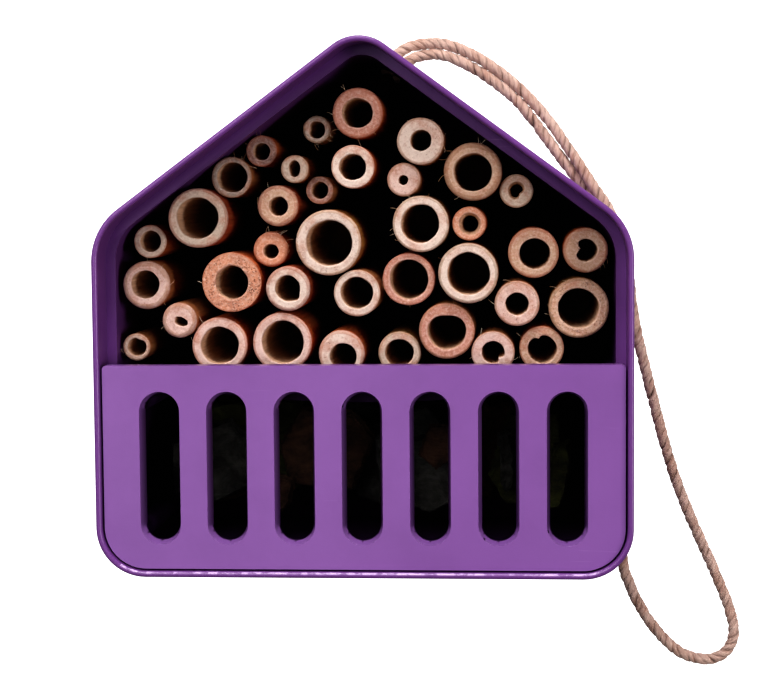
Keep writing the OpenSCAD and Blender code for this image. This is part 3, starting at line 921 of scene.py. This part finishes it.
def cane_tree():
    """One cane, worked out in millimetres on a sheet wrapped round it. Down the sheet come the back
    face, the skin, the rounded edge, the cut face, the bore's lip, the bore and its closed end."""
    tree, given, result = new_tree(
        "cane_maker", "GeometryNodeTree", CANE_INPUTS, [("Geometry", "Geometry")]
    )
    across = out(tree, "FunctionNodeIntegerMath", {0: given["Sides"], 1: 1}, operation="ADD")
    sheet = node(
        tree,
        "GeometryNodeMeshGrid",
        {"Size X": 1.0, "Size Y": 1.0, "Vertices X": across, "Vertices Y": given["Steps"]},
    )
    x, y, _ = parts(tree, node(tree, "GeometryNodeInputPosition").outputs[0])
    angle = x * TURN
    stage = (y + 0.5) * STAGES
    share = [calc(tree, "SUBTRACT", stage, k, clamp=True) for k in range(STAGES)]
    round_out = share[2] * (TURN / 4)
    round_in = share[4] * (TURN / 4)
    cosine = calc(tree, "COSINE", angle)
    sine = calc(tree, "SINE", angle)
    seed = given["Seed"]
    ring = vector(tree, cosine, sine, seed)

    def wave(scale, offset, detail=2.0):
        """Noise round the cane, from -1 to 1."""
        at = shift(tree, ring, (0, 0, offset))
        return (noise(tree, at, scale, detail) - 0.5) * 2

    outer = given["Outer Radius"] * (1.0 + wave(0.9, 11.0) * given["Lumps"])
    skin_z = 1.0 - calc(tree, "POWER", 1.0 - share[1], 1.8)
    collar = ((1.0 - skin_z) * (given["Front"] - given["Back"]) - given["Ring At"]) / 1.1
    collar = calc(tree, "EXPONENT", collar * collar * -1.0) * share[1] * (1.0 - share[2])
    outer = outer + collar * 0.16
    edge = given["Edge Round"] * (1.0 + wave(1.6, 23.0) * 0.35)
    outer_r = outer * share[0] - edge * (1.0 - calc(tree, "COSINE", round_out))
    outer_x = cosine * outer_r
    outer_y = sine * outer_r

    # The bore: an oval with a dent pressed in from one side
    turned = angle - given["Bore Turn"]
    dent_gap = calc(tree, "SINE", (angle - given["Dent Turn"]) * 0.5) * 2.0
    dent = calc(tree, "EXPONENT", (dent_gap / given["Dent Width"]) ** 2.0 * -1.0)
    jag = 1.0 + wave(5.0, 41.0, 3.0) * given["Splinter"]
    bore = given["Bore Radius"] * (1.0 + wave(1.3, 31.0) * given["Bore Lumps"])
    bore = bore * (1.0 - dent * given["Dent"] * jag)
    far = calc(tree, "POWER", share[5], 2.2)
    bore = bore * (1.0 - ramp(tree, share[5], 0.1, 0.3) * given["Step In"])
    lip = given["Lip Round"]
    bore = (bore + lip * (1.0 - calc(tree, "SINE", round_in))) * (1.0 - share[6])
    tall = given["Bore Height"]
    bore_u = calc(tree, "COSINE", turned) * bore
    bore_v = calc(tree, "SINE", turned) * bore * tall
    turn_c = calc(tree, "COSINE", given["Bore Turn"])
    turn_s = calc(tree, "SINE", given["Bore Turn"])
    move_x, move_y, _ = parts(tree, given["Bore Shift"])
    bore_x = bore_u * turn_c - bore_v * turn_s + move_x
    bore_y = bore_u * turn_s + bore_v * turn_c + move_y

    flat_x = outer_x + (bore_x - outer_x) * share[3]
    flat_y = outer_y + (bore_y - outer_y) * share[3]

    # The cut end leans a little, and its fibres stand unevenly
    spot = vector(tree, flat_x, flat_y, seed * 7.0)
    uneven = (noise(tree, spot, 0.9, 4.0, 0.6) - 0.5) * given["Roughness"] * 2.0
    chip = ramp(tree, wave(2.2, 57.0, 3.0), 0.35, 0.75) * (1.0 - share[3]) * given["Splinter"]
    front = given["Front"] + flat_x * given["Lean X"] + flat_y * given["Lean Y"] + uneven - chip * 2.0
    skin_run = (front - edge - given["Back"]) * skin_z
    z = given["Back"] + skin_run + edge * calc(tree, "SINE", round_out)
    z = z - lip * (1.0 - calc(tree, "COSINE", round_in))
    z = z - (front - lip - given["Floor"]) * far
    place_x, place_y, _ = parts(tree, given["Place"])
    point = vector(tree, (flat_x + place_x) * MM, (flat_y + place_y) * MM, z * MM)

    # The marks are stored before the sheet is moved, while its own places still stand
    geometry = sheet.outputs[0]
    marks = {
        "cut": ramp(tree, share[2], 0.0, 0.3),
        "across": share[3] + share[4],
        "bore": ramp(tree, share[4], 0.5, 1.0),
        # deep also drives painted shade down the bore
        "deep": far,
        # sunk drives painted shade along the skin
        "sunk": (1.0 - skin_z) * (1.0 - share[2]),
        "speckle": given["Speckle"],
    }
    for name, value in marks.items():
        geometry = stored(tree, geometry, name, value)
    for name, tone in (("wood_tone", "Wood Tone"), ("skin_tone", "Skin Tone")):
        geometry = stored(tree, geometry, name, given[tone], "FLOAT_COLOR")
    shaped = node(tree, "GeometryNodeSetPosition", {"Geometry": geometry, "Position": point})
    joined = node(
        tree, "GeometryNodeMergeByDistance", {"Geometry": shaped.outputs[0], "Distance": 0.00001}
    )
    smooth = node(tree, "GeometryNodeSetShadeSmooth", {"Geometry": joined.outputs[0]})
    finished(tree, smooth.outputs[0], given["Material"], result)
    return tree


CREAM, PINK, BEIGE = rgb(218, 196, 184), rgb(214, 182, 172), rgb(196, 174, 158)
TAN, ORANGE, GREY = rgb(200, 162, 138), rgb(204, 142, 114), rgb(164, 146, 134)
MAUVE, ROSE = rgb(146, 108, 100), rgb(190, 134, 118)
SKIN_ORANGE, SKIN_GOLD, SKIN_TAN = rgb(196, 100, 54), rgb(190, 136, 72), rgb(176, 122, 80)
SKIN_RED, SKIN_OLIVE = rgb(170, 72, 46), rgb(146, 116, 70)

# Each cane: bore in millimetres, wood tone, skin tone, and what is its own
CANES = [
    (4.5, GREY, SKIN_OLIVE, dict(dent=0.2, dent_turn=3.0, splinter=0.5, lumps=0.06)),
    (8.0, ROSE, SKIN_ORANGE, dict(edge=1.1, speckle=0.3)),
    (4.5, MAUVE, SKIN_ORANGE, dict(edge=0.6)),
    (3.1, BEIGE, SKIN_TAN, dict(tall=1.4, dent=0.12, dent_turn=3.4, shift=(-0.1, 0.1))),
    (8.0, GREY, SKIN_TAN, dict(edge=0.7, lean=(0.05, 0.0))),
    (4.5, MAUVE, SKIN_TAN, dict(edge=0.5)),
    (7.0, CREAM, SKIN_ORANGE, dict(edge=0.5)),
    (5.0, TAN, SKIN_RED, dict(edge=1.3, shift=(0.2, -0.1))),
    (11.0, BEIGE, SKIN_RED, dict(edge=1.0, shift=(-0.2, 0.0), lean=(-0.06, 0.02))),
    (12.0, CREAM, SKIN_GOLD, dict(edge=0.9, speckle=0.45, shift=(0.2, 0.0))),
    (5.5, BEIGE, SKIN_ORANGE, dict(edge=0.5)),
    (4.0, ORANGE, SKIN_ORANGE, dict(edge=1.2, splinter=0.5, shift=(0.0, -0.5), lumps=0.05)),
    (7.5, PINK, SKIN_TAN, dict(edge=1.6, shift=(-0.3, 0.2))),
    (8.5, ORANGE, SKIN_ORANGE, dict(edge=0.35, speckle=1.0, rough=0.4)),
    (6.5, CREAM, SKIN_RED, dict(edge=1.2, dent=-0.18, dent_turn=-0.8, dent_width=0.35)),
    (8.5, CREAM, SKIN_TAN, dict(edge=0.6)),
    (3.9, PINK, SKIN_TAN,
     dict(tall=0.58, turn=-0.35, edge=1.5, shift=(0.3, -0.3), dent=0.2, dent_turn=2.8)),
    (5.0, BEIGE, SKIN_TAN, dict(edge=0.7, dent=0.18, dent_turn=1.2, dent_width=0.4)),
    (10.0, PINK, SKIN_ORANGE, dict(edge=0.9)),
    (11.0, PINK, SKIN_ORANGE, dict(edge=0.8)),
    (7.0, CREAM, SKIN_ORANGE, dict(edge=1.1, shift=(0.4, -0.8))),
    (5.5, CREAM, SKIN_TAN, dict(edge=0.8, speckle=0.3, shift=(0.1, 0.2))),
    (10.0, TAN, SKIN_TAN, dict(edge=1.7, splinter=0.25, shift=(0.0, -0.2))),
    (2.5, PINK, SKIN_TAN, dict(edge=0.9)),
    (4.5, BEIGE, SKIN_TAN, dict(edge=0.7, dent=0.45, dent_turn=-0.7, dent_width=0.6, step=0.25)),
    (10.0, CREAM, SKIN_OLIVE, dict(edge=0.8, speckle=0.2, splinter=0.2)),
    (5.5, ORANGE, SKIN_ORANGE, dict(edge=0.5, step=0.25, speckle=0.15)),
    (8.0, TAN, SKIN_ORANGE, dict(edge=1.0, shift=(0.3, -0.2))),
    (6.0, TAN, SKIN_ORANGE, dict(edge=1.0, dent=0.5, dent_turn=3.0, dent_width=0.55, splinter=1.0)),
    (10.0, ROSE, SKIN_RED, dict(edge=0.5, speckle=0.2)),
    (11.0, CREAM, SKIN_OLIVE, dict(edge=1.0, speckle=0.2)),
    (6.0, PINK, SKIN_TAN, dict(edge=0.8, speckle=0.5)),
    (10.5, TAN, SKIN_OLIVE, dict(edge=1.0, speckle=0.7, splinter=0.2)),
    (10.0, ROSE, SKIN_TAN, dict(edge=0.9, dent=0.16, dent_turn=1.57, dent_width=0.7)),
    (7.5, BEIGE, SKIN_OLIVE, dict(edge=0.7)),
    (6.0, PINK, SKIN_TAN, dict(edge=0.6, dent=0.35, dent_turn=-0.75, dent_width=0.25)),
    (7.5, TAN, SKIN_ORANGE, dict(edge=0.6, dent=0.2, dent_turn=1.9, dent_width=0.2, shift=(0.2, -0.2))),
]


def make_canes():
    """Every cane, in the place and at the size of its CAD piece."""
    tree = cane_tree()
    rng = np.random.default_rng(17)
    made = []
    for i, (bore, wood, skin, own) in enumerate(CANES):
        name = f"cane_{i + 1:02d}"
        low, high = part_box(name)
        middle = (low + high) / 2 / MM
        lean = own.get("lean", tuple(rng.uniform(-0.03, 0.03, 2)))
        inputs = {
            "Outer Radius": float((high.x - low.x) / 2 / MM) * 0.985,
            "Bore Radius": bore / 2,
            "Bore Height": own.get("tall", float(rng.uniform(0.96, 1.04))),
            "Bore Turn": own.get("turn", 0.0),
            "Bore Shift": own.get("shift", tuple(rng.uniform(-0.15, 0.15, 2))) + (0.0,),
            "Dent": own.get("dent", 0.0),
            "Dent Turn": own.get("dent_turn", 0.0),
            "Dent Width": own.get("dent_width", 0.5),
            "Step In": own.get("step", 0.0),
            "Front": float(high.z / MM) - 0.2,
            "Back": float(low.z / MM),
            "Floor": float(low.z / MM) + 5.0,
            "Edge Round": own.get("edge", 0.7) * 0.75,
            "Lip Round": 0.25 + 0.02 * bore,
            "Lumps": own.get("lumps", 0.025),
            "Bore Lumps": 0.07,
            "Lean X": lean[0],
            "Lean Y": lean[1],
            "Roughness": own.get("rough", 0.2),
            "Splinter": own.get("splinter", 0.0),
            "Ring At": float(rng.uniform(5, 14)),
            "Speckle": own.get("speckle", float(rng.uniform(0.05, 0.2))),
            "Place": (middle.x, middle.y, 0.0),
            "Seed": float(i) * 3.7,
            "Wood Tone": wood,
            "Skin Tone": skin,
            "Material": BAMBOO,
        }
        made.append((name, new_object("bamboo_" + name, grown(name, tree, inputs))))
    return made


canes = make_canes()

# ---- bark behind the cover

BARK_INPUTS = [
    ("Geometry", "Geometry"),
    ("Cell", "Float", 0.0009),
    ("Ridges", "Float", 0.0012),
    ("Pits", "Float", 0.0006),
    ("Trim", "Float", 0.0008),
    ("Seed", "Float", 0.0),
    ("Material", "Material"),
]


def bark_tree():
    """Turns a plain chip into a broken, ridged piece of bark."""
    tree, given, result = new_tree(
        "bark_maker", "GeometryNodeTree", BARK_INPUTS, [("Geometry", "Geometry")]
    )
    solid = node(
        tree,
        "GeometryNodeMeshToVolume",
        {"Mesh": given["Geometry"], "Density": 1.0, "Voxel Size": given["Cell"]},
        resolution_mode="VOXEL_SIZE",
    )
    skin = node(
        tree,
        "GeometryNodeVolumeToMesh",
        {"Volume": solid.outputs[0], "Voxel Size": given["Cell"], "Threshold": 0.1},
        resolution_mode="VOXEL_SIZE",
    )
    at = Wire(tree, node(tree, "GeometryNodeInputPosition").outputs[0])
    normal = Wire(tree, node(tree, "GeometryNodeInputNormal").outputs[0])
    seeded = shift(tree, at, vector(tree, given["Seed"], given["Seed"] * 0.6, given["Seed"] * 0.3))
    stretched = shift(tree, seeded, (60.0, 260.0, 300.0), "MULTIPLY")
    ridges = noise(tree, stretched, 1.0, 3.0, 0.55, 0.6)
    pits = noise(tree, seeded, 320.0, 4.0, 0.6)
    depth = given["Trim"] + ridges * given["Ridges"] + pits * given["Pits"]
    inward = out(
        tree, "ShaderNodeVectorMath", {0: normal, "Scale": depth * -1.0}, operation="SCALE"
    )
    moved = node(
        tree, "GeometryNodeSetPosition", {"Geometry": skin.outputs[0], "Offset": inward}
    )
    smooth = node(tree, "GeometryNodeSetShadeSmooth", {"Geometry": moved.outputs[0]})
    finished(tree, smooth.outputs[0], given["Material"], result)
    return tree


FILLINGS = sorted(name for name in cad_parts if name.startswith("filling_"))


def make_bark():
    """Every plate of the filling, broken up from its CAD piece."""
    tree = bark_tree()
    finishes = [BARK_BROWN, BARK_GREY, BARK_BROWN, BARK_GREY, BARK_GREEN, BARK_GREY]
    made = []
    for i, name in enumerate(FILLINGS):
        base = plain_copy(name, name + "_blank")
        inputs = {
            "Seed": i * 0.37,
            "Ridges": 2.8 * MM,
            "Pits": 1.3 * MM,
            "Trim": 0.2 * MM,
            "Material": finishes[i % len(finishes)],
        }
        made.append((name, new_object("bark_" + name, grown(name, tree, inputs, base))))
    return made


JOIN_WITHIN = 0.002 * MM


def plain_copy(node_name, name):
    """A CAD node's mesh with its loose triangles joined up."""
    mesh = bpy.data.meshes.new(name)
    shape = bmesh.new()
    shape.from_mesh(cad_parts[node_name].data)
    bmesh.ops.remove_doubles(shape, verts=shape.verts, dist=JOIN_WITHIN)
    bmesh.ops.dissolve_limit(
        shape, angle_limit=math.radians(0.6), verts=shape.verts, edges=shape.edges
    )
    shape.to_mesh(mesh)
    shape.free()
    for spare in ("custom_normal", "UVMap"):
        if spare in mesh.attributes:
            mesh.attributes.remove(mesh.attributes[spare])
    return mesh


bark_pieces = make_bark()

# ---- moulded parts with rounded edges


HOUSE_LOW, HOUSE_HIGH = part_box("casing")
WALLS = 3.2 * MM
# Painted shade starts at this height inside the rooms and is full this much deeper
SHADE_FROM = 67 * MM
SHADE_FADE = 18 * MM
BACK_SKIN = 1.0 * MM


def inside_depth_shade(point, normal):
    """How much shade is painted on the plastic: none outside, and more with depth inside the rooms."""
    across = abs(point.x) < HOUSE_HIGH.x - WALLS
    within = across and HOUSE_LOW.y + WALLS < point.y < HOUSE_HIGH.y - WALLS
    if not within and normal.dot(Vector((-point.x, -point.y, 0)).normalized()) < 0.2:
        return 0.0
    if point.z < BACK_SKIN:
        return 0.0
    return min(1.0, max(0.0, (SHADE_FROM - point.z) / SHADE_FADE))


HIGHLIGHT_DEPTH = 0.6 * MM
SHARP = math.radians(28)


def rubbed_and_highlit(point, normal, front_z):
    """Where a pale highlight is painted: upward-facing front edges of the cover and foot."""
    if point.z < front_z - HIGHLIGHT_DEPTH or abs(point.x) > HOUSE_HIGH.x - WALLS:
        return 0.0
    if front_z > COVER_Z and point.y > HOUSE_LOW.y + WALLS:
        return 0.0
    upward = min(1.0, max(0.0, (normal.y - 0.1) * 2.4))
    return upward * min(1.0, max(0.0, (normal.z - 0.15) * 2.4))


def moulded(node_name, name, radius, front_radius, front_z, material, least_shade=0.0):
    """The CAD shape with its edges rounded as a mould leaves them, more so on its front."""
    mesh = plain_copy(node_name, name)
    shape = bmesh.new()
    shape.from_mesh(mesh)
    for size, steps, low in ((front_radius, 5, front_z), (radius, 3, -1.0)):
        edges = [
            edge
            for edge in shape.edges
            if edge.is_manifold
            and edge.calc_face_angle(0) > SHARP
            and min(v.co.z for v in edge.verts) > low
        ]
        bmesh.ops.bevel(
            shape,
            geom=edges,
            offset=size,
            offset_type="OFFSET",
            segments=steps,
            profile=0.5,
            affect="EDGES",
            clamp_overlap=True,
            miter_outer="ARC",
        )
        bmesh.ops.remove_doubles(shape, verts=shape.verts, dist=0.000001)
    for face in shape.faces:
        face.smooth = True
    shape.to_mesh(mesh)
    shape.free()
    # Painted shade inside the rooms, deeper from the front.
    mark = mesh.attributes.new("inside", "FLOAT", "POINT")
    mark.data.foreach_set("value", [max(least_shade, inside_depth_shade(v.co, v.normal)) for v in mesh.vertices])
    # Painted highlight on upward-facing front edges.
    mark = mesh.attributes.new("rubbed_and_highlit", "FLOAT", "FACE")
    mark.data.foreach_set("value", [rubbed_and_highlit(f.center, f.normal, front_z) for f in mesh.polygons])
    made = new_object(name, mesh, material)
    weighted = made.modifiers.new("even_normals", "WEIGHTED_NORMAL")
    weighted.keep_sharp = True
    weighted.weight = 80
    return made


JUST_BELOW = 0.1 * MM
FRONT_Z = CAD_BOX[1][2]
COVER_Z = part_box("front_cover")[1].z
SHELF_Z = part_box("shelf")[1].z
# The whole shelf is painted at least this deep in shade.
SHELF_SHADE = 0.8
tub = moulded("casing", "house_tub", 0.4 * MM, 0.76 * MM, FRONT_Z - JUST_BELOW, TUB_PLASTIC)
cover = moulded(
    "front_cover", "slotted_cover", 0.3 * MM, 0.65 * MM, COVER_Z - JUST_BELOW, COVER_PLASTIC
)
shelf_front = SHELF_Z - JUST_BELOW
shelf = moulded("shelf", "loft_shelf", 0.35 * MM, 0.35 * MM, shelf_front, TUB_PLASTIC, SHELF_SHADE)

# ---- what rides on what

for piece, cad_node in ((tub, "casing"), (shelf, "shelf")):
    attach(piece, "house")
    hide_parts(cad_node)
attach(cover, "cover")
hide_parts("front_cover")
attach(cane_fibres, "house")
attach(fuzz, "house")
for pieces, slot in ((canes, "bamboo"), (bark_pieces, "bark")):
    for name, piece in pieces:
        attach(piece, "house")
        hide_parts(name)
for piece, cad_node in ((cord, "hanging_cord"), (knot, "cord_knot")):
    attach(piece, "house")
    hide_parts(cad_node)
